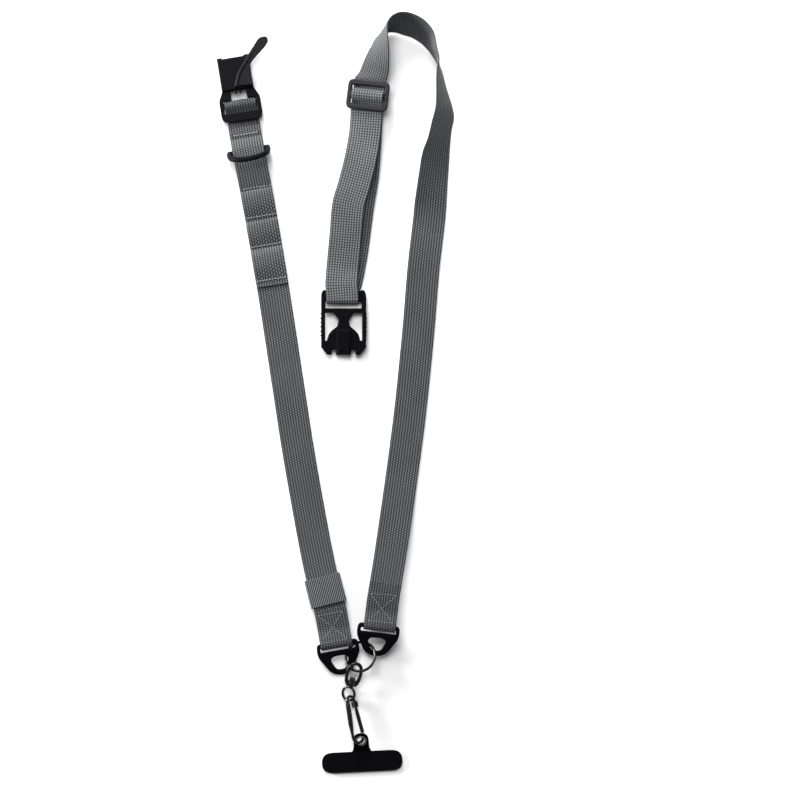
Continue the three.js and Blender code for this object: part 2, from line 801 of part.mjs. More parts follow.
put("left_strap", leftStrap(), "webbing");
put("gear_loop_band", gearLoopBand(), "webbing");

const keeperSlope = (Math.atan(leftRest(keeperPlace + 1) - leftRest(keeperPlace - 1)) / 2) * (180 / Math.PI);
onCourse("keeper_loop", keeperLoop(), "webbing", leftCourse, keeperPlace, leftRest(keeperPlace)).rotateX(
  radians(keeperSlope),
);

const socketPlace = { x: leftCourse(leftLength).origin.x, y: leftCourse(leftLength).origin.y, turn: socketTurned };
put("socket_buckle", socketBuckle(), "moulded", socketPlace);
put("pull_tab", pullTab(), "rubber", socketPlace);

const dHeight = leftHeight(dPlace) + webMiddle + gap + dBar;
onCourse("d_ring", dRing(), "moulded", leftCourse, dPlace, dHeight).rotateX(radians(180 - dLean));

for (const [side, bar] of [
  ["left", leftBar],
  ["right", rightBar],
]) {
  const ring = triangleRing().translate(bar.shift, 0, 0);
  put("triangle_ring_" + side, ring, "moulded", bar);
}

// The round ring leans so that it runs under the left ring's crossbar and over both lower rims.
const ringPlace = { x: 0.2, y: 0.9, z: 6.65, turn: 35.8, tilt: -27.1 };
put("main_ring", new THREE.TorusGeometry(mainRadius, mainWire, 8, 36), "metal", ringPlace);

// The swivel's two halves share one axis; the hook and the patch hang on below.
const swivel = { x: -6.9, y: -20.1, z: 6.4, turn: -15.1, tilt: 15.2, roll: 13.1 };
put("swivel_shackle", swivelShackle(), "metal", swivel);
put("swivel_eye", swivelEye(), "metal", { ...swivel, roll: -27 });

const hook = { x: -7.6, y: -33.4, z: 4.9, turn: 12.1, tilt: -1.7, roll: 38.6 };
const hookMesh = put("hook_body", hookBody(), "metal", hook);
const gateMesh = put("hook_gate", hookGate(), "metal", hook);
hookMesh.updateMatrix();
gateMesh.position.copy(new THREE.Vector3(hookTop, -gateTop, 0).applyMatrix4(hookMesh.matrix));

const patch = { x: 1.5, y: -81.6, turn: 2.8 };
const patchMesh = put("phone_patch", phonePatch(), "patch", patch);
const eyeletMesh = put("patch_eyelet", patchEyelet(), "grommet", { ...patch, tilt: tabSlope });
patchMesh.updateMatrix();
const eyeletPlace = new THREE.Vector3(0, tabLength - eyeletFromEnd, patchThickness / 2)
  .applyAxisAngle(new THREE.Vector3(1, 0, 0), radians(tabSlope))
  .add(new THREE.Vector3(0, patchHeight / 2, 0))
  .applyMatrix4(patchMesh.matrix);
eyeletMesh.position.copy(eyeletPlace);

// The arch stands on its low edge and leans outwards. Its rows give both edges in plan, from the right arm round
// to the slider, as shares of the reach and the rise; the high edge's height follows from the webbing's width.
const archRows = [
  { lowX: 1.0, lowY: -1.22, highX: 0.59, highY: -1.26 },
  { lowX: 1.03, lowY: -0.88, highX: 0.64, highY: -0.95 },
  { lowX: 1.05, lowY: -0.59, highX: 0.69, highY: -0.68 },
  { lowX: 1.07, lowY: -0.4, highX: 0.76, highY: -0.51 },
  { lowX: 1.1, lowY: -0.25, highX: 0.81, highY: -0.33 },
  { lowX: 1.08, lowY: -0.13, highX: 0.86, highY: -0.16 },
  { lowX: 1.04, lowY: -0.01, highX: 0.87, highY: -0.02 },
  { lowX: 0.99, lowY: 0.13, highX: 0.87, highY: 0.15 },
  { lowX: 0.94, lowY: 0.3, highX: 0.88, highY: 0.3 },
  { lowX: 0.88, lowY: 0.4, highX: 0.9, highY: 0.41 },
  { lowX: 0.8, lowY: 0.51, highX: 0.87, highY: 0.55 },
  { lowX: 0.7, lowY: 0.61, highX: 0.83, highY: 0.73 },
  { lowX: 0.57, lowY: 0.69, highX: 0.72, highY: 0.86 },
  { lowX: 0.44, lowY: 0.73, highX: 0.57, highY: 0.94 },
  { lowX: 0.32, lowY: 0.76, highX: 0.42, highY: 0.96 },
  { lowX: 0.22, lowY: 0.75, highX: 0.31, highY: 0.92 },
  { lowX: 0.14, lowY: 0.72, highX: 0.25, highY: 0.85 },
  { lowX: 0.08, lowY: 0.68, highX: 0.24, highY: 0.75 },
  { lowX: 0.03, lowY: 0.6, highX: 0.25, highY: 0.62 },
  { lowX: -0.03, lowY: 0.5, highX: 0.26, highY: 0.49 },
  { lowX: -0.08, lowY: 0.4, highX: 0.26, highY: 0.37 },
  { lowX: -0.13, lowY: 0.29, highX: 0.25, highY: 0.26 },
];

const armEnd = rightCourse(rightLength).origin;
const sliderPlace = armEnd.clone().add(new THREE.Vector3(-0.79 * archReach, 1.37 * archRise, 0));

// Layers at the slider from the surface up: hem, back layer, front layer, then the slider's lower bar.
const barsAbove = 3 * layer;
const sliderMiddle = barsAbove + sliderThickness / 2;
const sliderFold = turnOf(sliderBar);
const overFold = sliderFold + layer;
const underTopBar = webMiddle + 2 * layer;

const backRows = [
  { at: 0, drift: 0 },
  { at: 0.06, drift: -0.0005 },
  { at: 0.37, drift: -0.019 },
  { at: 0.54, drift: -0.015 },
  { at: 0.75, drift: -0.0155 },
  { at: 0.88, drift: -0.009 },
  { at: 0.93, drift: -0.003 },
  { at: 0.97, drift: 0.003 },
  { at: 1, drift: 0 },
];
const frontRows = [
  { at: 0, drift: 0 },
  { at: 0.06, drift: -0.0005 },
  { at: 0.2, drift: -0.006 },
  { at: 0.335, drift: 0.001 },
  { at: 0.45, drift: 0.016 },
  { at: 0.54, drift: 0.031 },
  { at: 0.69, drift: 0.026 },
  { at: 0.92, drift: 0.016 },
  { at: 0.97, drift: 0.0055 },
  { at: 1, drift: 0 },
];

// The doubled stretch runs down from the slider to the plug.
const downCourse = (rows) =>
  course({
    start: sliderPlace,
    heading: 180 + loopHeading,
    length: loopLength,
    rows,
    roll: (s) => sliderRoll * (1 - ease(s, 0, loopLength * 0.7)),
    edgeDown: 1,
  });
const backCourse = downCourse(backRows);
const frontCourse = downCourse(frontRows);

// Where the three layers pass down through the slider's window, measured from its centre bar.
const windowRows = [
  { front: 4.4, frontRise: -0.4, hem: 2.75, hemRise: -1.1, back: 1.5, backRise: -3.7 },
  { front: 5.3, frontRise: -1.7, hem: 3.6, hemRise: -2.7, back: 3, backRise: -5.1 },
  { front: 6.6, frontRise: -2.4, hem: 5, hemRise: -3.8, back: 5, backRise: -5.6 },
];

function adjusterStrap() {
  const plugBarHeight = webMiddle + plugTurn;
  const through = (name) => windowRows.map((row) => ({ s: row[name], z: sliderMiddle + row[name + "Rise"] }));
  const windowEnd = sliderWindow / 2 + 1;
  const front = (s) => {
    const share = THREE.MathUtils.clamp((s / loopLength - 0.14) / 0.72, 0, 1);
    const plugRise = (webMiddle + 2 * plugTurn - underTopBar) * ease(s, loopLength - 26, loopLength - 9);
    return underTopBar + frontBulge * Math.sin(Math.PI * share) ** 2 + plugRise;
  };
  const rising = [
    { s: -sliderHeight / 2 - 1, z: underTopBar },
    { s: -sliderWindow / 2 + 0.3, z: underTopBar },
    { s: -overFold - 0.2, z: sliderMiddle - 0.6 },
  ];
  return ribbon([
    ...laid(frontCourse, [
      ...rising,
      ...wrap(0, sliderMiddle, overFold, 160, 25),
      ...through("front"),
      ...stretch(windowEnd, loopLength, front, 6),
    ]),
    ...laid(backCourse, [
      ...wrap(loopLength, plugBarHeight, plugTurn, 90, -90).slice(1),
      ...stretch(loopLength, windowEnd, () => webMiddle, 8).slice(1),
      ...through("back").reverse(),
      ...wrap(0, sliderMiddle, sliderFold, 270, 25),
      ...through("hem"),
      ...stretch(windowEnd, hemUnderSlider, () => webMiddle + layer, 5),
    ]),
  ]);
}


function rightStrap() {
  const height = armHeight(rightBar.z, rightLift, webMiddle);
  const arm = laid(rightCourse, [
    ...foldedEnd(rightBar.z, rightFlap, height),
    ...stretch(0, rightLength, height, 14).slice(1),
  ]);
  const edge = (x, y) =>
    archRows.map((row) => sliderPlace.clone().add(new THREE.Vector3(row[x] * archReach, row[y] * archRise, 0)));
  const low = edge("lowX", "lowY");
  const high = edge("highX", "highY");
  const seen = (s) => {
    const { origin, across, up } = frontCourse(s);
    const middle = origin.addScaledVector(up, underTopBar);
    return [1, -1].map((side) => middle.clone().addScaledVector(across, (side * webWidth) / 2));
  };
  low.forEach((p, i) => {
    const flat = Math.min(p.distanceTo(high[i]), webWidth);
    p.z = webMiddle;
    high[i].z = webMiddle + Math.sqrt(webWidth ** 2 - flat ** 2);
  });
  const [endLow, endHigh] = seen(-sliderHeight / 2 - 1 - 1.3 * gap);
  low.push(endLow);
  high.push(endHigh);
  const lows = new THREE.CatmullRomCurve3(low);
  const highs = new THREE.CatmullRomCurve3(high);
  const count = 3 * (low.length - 1);
  const arch = Array.from({ length: count + 1 }, (_, i) => {
    const from = lows.getPoint(i / count);
    const to = highs.getPoint(i / count);
    return { point: from.clone().add(to).multiplyScalar(0.5), across: from.sub(to).normalize() };
  });
  return ribbon([...arm, ...arch]);
}

put("right_strap", rightStrap(), "webbing");
put("adjuster_strap", adjusterStrap(), "webbing");

const slider = onCourse("strap_slider", strapSlider(), "moulded", frontCourse, 0, sliderMiddle);
slider.rotateZ(Math.PI);

const plugPlace = backCourse(loopLength).origin;
put("plug_buckle", plugBuckle(), "moulded", { x: plugPlace.x + plugShift, y: plugPlace.y, z: plugLift });

// The part's origin is the middle of its footprint, on the surface.
const bounds = new THREE.Box3().setFromObject(object, true);
const middle = bounds.getCenter(new THREE.Vector3());
object.position.set(-middle.x, -middle.y, -bounds.min.z);

export default root;
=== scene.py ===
import math
import bpy
import numpy as np
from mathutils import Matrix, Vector


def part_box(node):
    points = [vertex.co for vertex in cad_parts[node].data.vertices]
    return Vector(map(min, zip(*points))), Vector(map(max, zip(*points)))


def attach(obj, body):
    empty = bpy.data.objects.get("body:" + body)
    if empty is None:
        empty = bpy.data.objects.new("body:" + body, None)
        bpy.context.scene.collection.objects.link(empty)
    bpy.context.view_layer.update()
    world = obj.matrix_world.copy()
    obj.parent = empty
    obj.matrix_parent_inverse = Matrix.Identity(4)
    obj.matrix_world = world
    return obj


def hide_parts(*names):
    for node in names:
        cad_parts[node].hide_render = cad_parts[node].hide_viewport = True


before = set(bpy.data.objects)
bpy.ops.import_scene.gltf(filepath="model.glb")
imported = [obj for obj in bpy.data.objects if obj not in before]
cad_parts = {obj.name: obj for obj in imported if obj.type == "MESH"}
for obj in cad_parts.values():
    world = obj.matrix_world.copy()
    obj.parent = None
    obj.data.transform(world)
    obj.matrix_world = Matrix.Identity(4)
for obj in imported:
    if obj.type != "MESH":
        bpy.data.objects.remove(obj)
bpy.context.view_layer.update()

# Phone crossbody strap on white paper: woven webbing, its stitches, moulded buckles and metal rings.
# Sizes in the tables are in millimetres. Only the camera's height and reach and the studio's sizes
# are in metres.
mm = 0.001

# Corners closer than this are one.
touching = 0.001 * mm

# The picture is taken from straight above, and mmPerPixel is the size of its pixels on the surface.
# The spot that lies ringShift away from the middle of the round ring's box is at ringPixel.
view = {
    "pixels": 800,
    "mmPerPixel": 0.78125,
    "ringPixel": (360.3, 657.0),
    "ringShift": (-0.2, -0.9),
    "height": 2.2,
    "sensor": 36.0,
    "reach": 20,
}
ringLow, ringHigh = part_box("main_ring")
ringMiddle = (ringLow + ringHigh) / 2 + Vector((*view["ringShift"], 0)) * mm


# A place on the surface from a place in the picture
def plan(px, py):
    step = view["mmPerPixel"] * mm
    across = px - view["ringPixel"][0]
    up = view["ringPixel"][1] - py
    return Vector((ringMiddle.x + across * step, ringMiddle.y + up * step, 0))


pictureMiddle = plan(view["pixels"] / 2, view["pixels"] / 2)


def deselect():
    for o in bpy.context.selected_objects:
        o.select_set(False)


def makeActive(piece):
    deselect()
    piece.select_set(True)
    bpy.context.view_layer.objects.active = piece


def editMode(piece):
    makeActive(piece)
    bpy.ops.object.mode_set(mode="EDIT")
    bpy.ops.mesh.select_all(action="SELECT")


def objectMode():
    bpy.ops.object.mode_set(mode="OBJECT")


def applyModifier(piece, kind, **settings):
    makeActive(piece)
    modifier = piece.modifiers.new(kind.title(), kind)
    for key, value in settings.items():
        setattr(modifier, key, value)
    bpy.ops.object.modifier_apply(modifier=modifier.name)


def finishPiece(piece, name, look, slot, body, *nodes):
    piece.name = name
    piece.data.name = name
    piece.data.materials.clear()
    piece.data.materials.append(look)
    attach(piece, body)
    if nodes:
        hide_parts(*nodes)
    return piece


# Camera, floor and lights
def addCamera():
    data = bpy.data.cameras.new("camera")
    data.sensor_width = view["sensor"]
    data.lens = view["sensor"] * view["height"] / (view["pixels"] * view["mmPerPixel"] * mm)
    data.clip_end = view["reach"]
    camera = bpy.data.objects.new("camera", data)
    bpy.context.scene.collection.objects.link(camera)
    camera.location = pictureMiddle + Vector((0, 0, view["height"]))
    bpy.context.scene.camera = camera


studio = {
    "lamps": {
        "key": {"place": (-0.35, 1.5, 0.6), "size": 0.6, "power": 30.0},
        "roof": {"place": (-0.2, 0.9, 1.6), "size": 1.1, "power": 27.0},
        "side": {"place": (-1.6, 0.35, 0.35), "size": 0.5, "power": 45.0},
    },
    "world": 0.2,
    "floor": 0.95,
    "floorWide": 6,
    "floorLow": 0.0006,
    "floorRough": 0.9,
    "floorShine": 0.1,
}


def addStudio():
    for name, row in studio["lamps"].items():
        data = bpy.data.lights.new(name, "AREA")
        data.shape = "DISK"
        data.size = row["size"]
        data.energy = row["power"]
        lamp = bpy.data.objects.new(name, data)
        bpy.context.scene.collection.objects.link(lamp)
        lamp.location = pictureMiddle + Vector(row["place"])
        lamp.rotation_euler = (pictureMiddle - lamp.location).to_track_quat("-Z", "Y").to_euler()
    world = bpy.data.worlds.new("studioLight")
    world.use_nodes = True
    background = world.node_tree.nodes["Background"]
    background.inputs["Color"].default_value = (1, 1, 1, 1)
    background.inputs["Strength"].default_value = studio["world"]
    bpy.context.scene.world = world
    bpy.context.scene.view_settings.view_transform = "Standard"
    deselect()
    place = (pictureMiddle.x, pictureMiddle.y, -studio["floorLow"])
    bpy.ops.mesh.primitive_plane_add(size=studio["floorWide"], location=place)
    floor = bpy.context.object
    floor.name = "floor"
    paper = bpy.data.materials.new("paper")
    paper.use_nodes = True
    base = paper.node_tree.nodes["Principled BSDF"]
    base.inputs["Base Color"].default_value = (studio["floor"],) * 3 + (1,)
    base.inputs["Roughness"].default_value = studio["floorRough"]
    base.inputs["Specular IOR Level"].default_value = studio["floorShine"]
    floor.data.materials.append(paper)


addCamera()
addStudio()
print("camera and studio ready")


# Materials: an underscore in the name of a value stands for a space.
class Nodes:
    def __init__(self, name, **values):
        self.look = bpy.data.materials.new(name)
        self.look.use_nodes = True
        self.tree = self.look.node_tree
        self.base = self.tree.nodes["Principled BSDF"]
        for key, value in values.items():
            self.base.inputs[key.replace("_", " ")].default_value = value

    def add(self, kind, inputs=None, **settings):
        node = self.tree.nodes.new(kind)
        for key, value in settings.items():
            setattr(node, key, value)
        for key, value in (inputs or {}).items():
            if isinstance(value, bpy.types.NodeSocket):
                self.tree.links.new(value, node.inputs[key])
            else:
                node.inputs[key].default_value = value
        return node

    def maths(self, operation, a, b=0.0):
        return self.add("ShaderNodeMath", {0: a, 1: b}, operation=operation).outputs[0]

    def noise(self, scale, detail, rough=0.5):
        place = self.add("ShaderNodeTexCoord").outputs["Object"]
        inputs = {"Vector": place, "Scale": scale, "Detail": detail, "Roughness": rough}
        return self.add("ShaderNodeTexNoise", inputs).outputs["Fac"]

    def ramp(self, factor, *stops):
        node = self.add("ShaderNodeValToRGB", {"Fac": factor})
        band = node.color_ramp
        while len(band.elements) < len(stops):
            band.elements.new(0.5)
        for element, (place, colour) in zip(band.elements, stops):
            element.position = place
            element.color = (*colour, 1)
        return node.outputs["Color"]

    def mix(self, factor, a, b):
        node = self.add("ShaderNodeMix", {"Factor": factor}, data_type="RGBA")
        for key, value in ((6, a), (7, b)):
            if isinstance(value, bpy.types.NodeSocket):
                self.tree.links.new(value, node.inputs[key])
            else:
                node.inputs[key].default_value = (*value, 1)
        return node.outputs[2]

    def shades(self, factor, colour, low, high):
        return self.mix(factor, tuple(c * low for c in colour), tuple(c * high for c in colour))

    def rubbedEdges(self, start, end):
        edge = self.add("ShaderNodeNewGeometry").outputs["Pointiness"]
        return self.ramp(edge, (start, (0, 0, 0)), (end, (1, 1, 1)))

    def link(self, socket, name):
        self.tree.links.new(socket, self.base.inputs[name])

    def bump(self, height, strength, distance):
        node = self.add("ShaderNodeBump", {"Height": height, "Strength": strength, "Distance": distance})
        self.link(node.outputs["Normal"], "Normal")


# Webbing colours by the height of the weave: gap is painted shade between the yarns, top is a painted
# highlight on the tops of the floats, mid is the tone between.
weaveShadeColours = {
    "arms": {"gap": (0.006, 0.0064, 0.007), "mid": (0.04, 0.042, 0.046), "top": (0.14, 0.145, 0.153)},
    "adjuster": {"gap": (0.013, 0.014, 0.015), "mid": (0.07, 0.073, 0.078), "top": (0.21, 0.217, 0.226)},
    # The loops' colours are the adjuster's made darker: painted shade on the folds of the gear loops.
    "loops": {"gap": (0.007, 0.0075, 0.008), "mid": (0.05, 0.052, 0.056), "top": (0.175, 0.181, 0.189)},
    "sleeve": {"gap": (0.004, 0.0043, 0.005), "mid": (0.042, 0.044, 0.048), "top": (0.165, 0.171, 0.18)},
}


# The yarns inside the weave, with lengths in millimetres
yarn = {
    "fibre": 0.42,
    "ply": 0.9,
    "plySlant": 0.7,
    "fibreShare": 0.35,
    "plyShare": 0.2,
    "tint": 0.1,
    "grain": 900,
    "worn": 38,
    "wornShare": 0.28,
    # The next two place the painted gap shade and the painted float highlight on the look's colour ramp.
    "gapAt": 0.12,
    "topHighlightAt": 0.98,
    "dust": (0.02, 0.021, 0.024),
    "dustShare": 0.16,
    "grainBump": 0.7,
    "bump": 0.45,
    "bumpHigh": 0.12,
}


def turnsOver(length):
    return 2 * math.pi / (length * mm)


def webbingLook(name, colours):
    n = Nodes(name, Roughness=0.78, Sheen_Weight=0.15, Sheen_Roughness=0.5, Specular_IOR_Level=0.28)
    weave = n.add("ShaderNodeAttribute", attribute_name="weave").outputs["Fac"]
    uv = n.add("ShaderNodeUVMap", uv_map="UVMap").outputs["UV"]
    split = n.add("ShaderNodeSeparateXYZ", {"Vector": uv})
    across, along = split.outputs["X"], split.outputs["Y"]
    fibre = n.maths("SINE", n.maths("MULTIPLY", across, turnsOver(yarn["fibre"])))
    slant = n.maths("MULTIPLY", across, turnsOver(yarn["plySlant"]))
    ply = n.maths("SINE", n.maths("ADD", n.maths("MULTIPLY", along, turnsOver(yarn["ply"])), slant))
    fibre = n.maths("MULTIPLY", fibre, yarn["fibreShare"])
    lines = n.maths("ADD", fibre, n.maths("MULTIPLY", ply, yarn["plyShare"]))
    grain = n.noise(yarn["grain"], 2)
    worn = n.maths("SUBTRACT", n.noise(yarn["worn"], 4), 0.5)
    shade = n.maths("ADD", weave, n.maths("MULTIPLY", worn, yarn["wornShare"]))
    shade = n.maths("ADD", shade, n.maths("MULTIPLY", lines, yarn["tint"]))
    # Painted shade and highlight: the ramp darkens the weave's gaps and lightens the tops of its floats.
    stops = ((yarn["gapAt"], colours["gap"]), (0.5, colours["mid"]), (yarn["topHighlightAt"], colours["top"]))
    body = n.ramp(shade, *stops)
    body = n.mix(n.maths("MULTIPLY", grain, yarn["dustShare"]), body, yarn["dust"])
    n.link(body, "Base Color")
    height = n.maths("ADD", lines, n.maths("MULTIPLY", grain, yarn["grainBump"]))
    n.bump(height, yarn["bump"], yarn["bumpHigh"] * mm)
    return n.look


plastic = {
    "cloud": 70,
    "dark": 0.75,
    "light": 1.3,
    "rubbed": (0.52, 0.62),
    "rubbedShare": 0.6,
    "rubbedTimes": 2.6,
    "rubbedPlus": 0.01,
    "roughSpread": 0.16,
    "cloudBump": 0.3,
    "bumpHigh": 0.05,
}


def plasticLook(name, colour, rough, shine, grainSize=1400, grain=0.25):
    n = Nodes(name, Specular_IOR_Level=shine)
    cloud = n.noise(plastic["cloud"], 4)
    fine = n.noise(grainSize, 2)
    rubbed = n.maths("MULTIPLY", n.rubbedEdges(*plastic["rubbed"]), plastic["rubbedShare"])
    light = tuple(c * plastic["rubbedTimes"] + plastic["rubbedPlus"] for c in colour)
    body = n.shades(cloud, colour, plastic["dark"], plastic["light"])
    n.link(n.mix(rubbed, body, light), "Base Color")
    spread = plastic["roughSpread"]
    n.link(n.maths("ADD", n.maths("MULTIPLY", cloud, spread), rough - spread / 2), "Roughness")
    height = n.maths("ADD", fine, n.maths("MULTIPLY", cloud, plastic["cloudBump"]))
    n.bump(height, grain, plastic["bumpHigh"] * mm)
    return n.look


metal = {
    "cloud": 160,
    "dark": 0.7,
    "light": 1.4,
    "rubbed": (0.54, 0.66),
    "rubbedShare": 0.35,
    "rubbedTimes": 4,
    "rubbedPlus": 0.03,
    "roughSpread": 0.2,
    "grain": 500,
    "bump": 0.08,
    "bumpHigh": 0.05,
}


def metalLook(name, colour, rough, metallic):
    n = Nodes(name, Metallic=metallic, Coat_Weight=0.25, Coat_Roughness=0.15, Specular_IOR_Level=0.4)
    cloud = n.noise(metal["cloud"], 5, 0.6)
    rubbed = n.maths("MULTIPLY", n.rubbedEdges(*metal["rubbed"]), metal["rubbedShare"])
    light = tuple(min(1, c * metal["rubbedTimes"] + metal["rubbedPlus"]) for c in colour)
    body = n.shades(cloud, colour, metal["dark"], metal["light"])
    n.link(n.mix(rubbed, body, light), "Base Color")
    spread = metal["roughSpread"]
    n.link(n.maths("ADD", n.maths("MULTIPLY", cloud, spread), rough - spread / 2), "Roughness")
    n.bump(n.noise(metal["grain"], 3), metal["bump"], metal["bumpHigh"] * mm)
    return n.look


twist = {
    "grain": 1500,
    "bump": 0.5,
    "bumpHigh": 0.1,
}


def threadLook(name, dark, light):
    n = Nodes(name, Roughness=0.7, Sheen_Weight=0.3)
    grain = n.noise(twist["grain"], 2)
    n.link(n.mix(grain, dark, light), "Base Color")
    n.bump(grain, twist["bump"], twist["bumpHigh"] * mm)
    return n.look


looks = {
    "arms": webbingLook("armWebbing", weaveShadeColours["arms"]),
    "adjuster": webbingLook("adjusterWebbing", weaveShadeColours["adjuster"]),
    # The gear loops' look carries painted shade in its darker colours.
    "loops": webbingLook("loopWebbingShaded", weaveShadeColours["loops"]),
    "sleeve": webbingLook("sleeveWebbing", weaveShadeColours["sleeve"]),
    "thread": threadLook("stitchThread", (0.1, 0.103, 0.108), (0.25, 0.256, 0.265)),
    "loopThread": threadLook("loopThread", (0.24, 0.245, 0.253), (0.6, 0.61, 0.625)),
    "moulded": plasticLook("mouldedPlastic", (0.0032, 0.0028, 0.0041), rough=0.52, shine=0.045),
    # The plug is the same plastic as the moulded pieces, made darker: painted shade.
    "plug": plasticLook("plugPlasticShaded", (0.0018, 0.0016, 0.0023), rough=0.55, shine=0.035),
    "slider": plasticLook("sliderPlastic", (0.0088, 0.008, 0.0104), rough=0.4, shine=0.18),
    "tab": plasticLook("tabRubber", (0.0062, 0.0056, 0.0078), rough=0.55, shine=0.1,
                       grainSize=900, grain=0.4),
    "patch": plasticLook("patchSheet", (0.0012, 0.0011, 0.0017), rough=0.6, shine=0.045,
                         grainSize=700, grain=0.5),
    "metal": metalLook("blackMetal", (0.007, 0.007, 0.008), rough=0.28, metallic=0.4),
    "eyelet": metalLook("eyeletMetal", (0.3, 0.29, 0.27), rough=0.34, metallic=1.0),
}
print("materials ready")


# Webbing: the CAD band gives the rows of its corners, and a finer woven band is laid along them.
# Lengths are in millimetres; around, under and along are faces for each column or row of the weave.
webbing = {
    "width": 25.0,
    "thickness": 1.3,
    "columns": 12,
    "rowPitch": 2.0,
    "relief": 0.22,
    "around": 4,
    "under": 2,
    "along": 4,
    "edgeFaces": 3,
    "edgeInset": 0.3,
    "edgeHeight": (0.35, 0.4),
    "warpPower": 0.7,
    "weftPower": 0.8,
    "dip": 0.25,
    "jointNear": 10,
    "jointGap": 0.05,
    "jointBack": 3.3,
    "nearlyEqual": 0.0015,
}

# The gear loops past the D-ring lean towards the buckle, more on one side than on the other.
lean = {
    "from": 52.0,
    "reach": 4.3,
    "slant": 0.09,
}


# How far each row of a band leans, from 0 where it is sewn down to 1 on a crest
def leanOf(path):
    height = path["middle"][:, 2]
    after = path["at"] > lean["from"] * mm
    low, high = height[after].min(), height[after].max()
    return np.where(after, np.clip((height - low) / (high - low), 0, 1), 0)


# The corners of a CAD mesh, once each, and for each of its vertices which corner it is
def cornersOf(node):
    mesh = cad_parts[node].data
    points = np.zeros(len(mesh.vertices) * 3)
    mesh.vertices.foreach_get("co", points)
    places, back = np.unique(np.round(points.reshape(-1, 3), 7), axis=0, return_inverse=True)
    return places, back.reshape(-1)


# The four corners of each section of a band, in order from one end to the other
def bandRows(node):
    places, back = cornersOf(node)
    joins = {i: set() for i in range(len(places))}
    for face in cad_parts[node].data.polygons:
        ids = [int(back[v]) for v in face.vertices]
        for a, b in zip(ids, ids[1:] + ids[:1]):
            joins[a].add(b)
            joins[b].add(a)

    def apartBy(a, b, length):
        return abs(float(np.linalg.norm(places[a] - places[b])) - length * mm) < webbing["nearlyEqual"] * mm

    partner = {}
    for a in joins:
        for b in joins[a]:
            if apartBy(a, b, webbing["width"]):
                partner[a] = b
    rows, rowOf = [], {}
    for a, b in partner.items():
        if a in rowOf:
            continue
        for c in joins[a]:
            if c != b and partner.get(c) in joins[b] and apartBy(a, c, webbing["thickness"]):
                d = partner[c]
                if c not in rowOf and apartBy(b, d, webbing["thickness"]):
                    for v in (a, b, c, d):
                        rowOf[v] = len(rows)
                    rows.append((a, b, c, d))
                    break
    beside = {i: set() for i in range(len(rows))}
    for i, row in enumerate(rows):
        for a in row:
            beside[i] |= {rowOf[b] for b in joins[a] if b in rowOf and rowOf[b] != i}
    ends = [i for i in beside if len(beside[i]) == 1]
    order = [ends[0]]
    while len(order) < len(rows):
        following = [i for i in beside[order[-1]] if i not in order]
        if not following:
            break
        order.append(following[0])
    corners = [places[list(rows[order[0]])]]
    for i in order[1:]:
        corners.append(turnedLike(places[list(rows[i])], corners[-1]))
    corners = np.array(corners)
    if (corners[:, 0] - corners[:, 2])[:, 2].sum() < 0:
        corners = corners[:, [3, 2, 1, 0]]
    return corners


# The four corners of a row in the order that faces the same way as another row's
def turnedLike(row, other):
    def sides(r):
        return (r[1] - r[0]) / webbing["width"], (r[0] - r[2]) / webbing["thickness"]

    def match(r):
        return sum(float(a @ b) for a, b in zip(sides(r), sides(other)))

    return max((row, row[[1, 0, 3, 2]], row[[2, 3, 0, 1]], row[[3, 2, 1, 0]]), key=match)


# Two bands that meet end to end get their joint further back along the first.
def moveJoint(first, second, reach):
    if np.linalg.norm(first[-1] - second[0]) > webbing["jointNear"] * mm:
        first = first[::-1]
    end, before = first[-1], first[-2]
    way = before.mean(axis=0) - end.mean(axis=0)
    way /= np.linalg.norm(way)
    moved = end + way * reach * mm
    first = np.concatenate([first[:-1], moved[None]])
    start = turnedLike(moved - way * webbing["jointGap"] * mm, second[0])
    return first, np.concatenate([start[None], second])


def unit(rows):
    return rows / np.linalg.norm(rows, axis=1)[:, None]


# A smooth curve through the rows: even steps along it, its middle and the band's own directions
def smoothRows(rows, count):
    middle = rows.mean(axis=1)
    steps = np.linalg.norm(np.diff(middle, axis=0), axis=1)
    place = np.concatenate([[0], np.cumsum(steps)])
    values = np.hstack([middle, unit(rows[:, 1] - rows[:, 0]), unit(rows[:, 0] - rows[:, 2])])
    slope = np.zeros_like(values)
    slope[1:-1] = (values[2:] - values[:-2]) / (place[2:] - place[:-2])[:, None]
    slope[0] = (values[1] - values[0]) / steps[0]
    slope[-1] = (values[-1] - values[-2]) / steps[-1]
    at = np.linspace(0, place[-1], count)
    i = np.clip(np.searchsorted(place, at, side="right") - 1, 0, len(place) - 2)
    span = (place[i + 1] - place[i])[:, None]
    t = ((at - place[i])[:, None]) / span
    fine = ((1 + 2 * t) * (1 - t) ** 2 * values[i] + t * t * (3 - 2 * t) * values[i + 1]
            + t * (1 - t) ** 2 * slope[i] * span + t * t * (t - 1) * slope[i + 1] * span)
    across, normal = unit(fine[:, 3:6]), fine[:, 6:]
    normal = unit(normal - (normal * across).sum(axis=1)[:, None] * across)
    return {"at": at, "middle": fine[:, :3], "across": across, "normal": normal}


# Rounds off a crease in a path
def soften(path, start, end, reach):
    step = path["at"][1]
    half = int(3 * reach * mm / step)
    kernel = np.exp(-0.5 * (np.arange(-half, half + 1) * step / (reach * mm)) ** 2)
    kernel /= kernel.sum()
    at = path["at"] / mm
    rise = np.clip((at - start) / reach, 0, 1) * np.clip((end - at) / reach, 0, 1)
    share = (rise * rise * (3 - 2 * rise))[:, None]
    for key in ("middle", "across", "normal"):
        held = np.pad(path[key], ((half, half), (0, 0)), mode="edge")
        blurred = np.stack([np.convolve(held[:, k], kernel, mode="valid") for k in range(3)], axis=1)
        path[key] = path[key] * (1 - share) + blurred * share
    for key in ("across", "normal"):
        path[key] = unit(path[key])


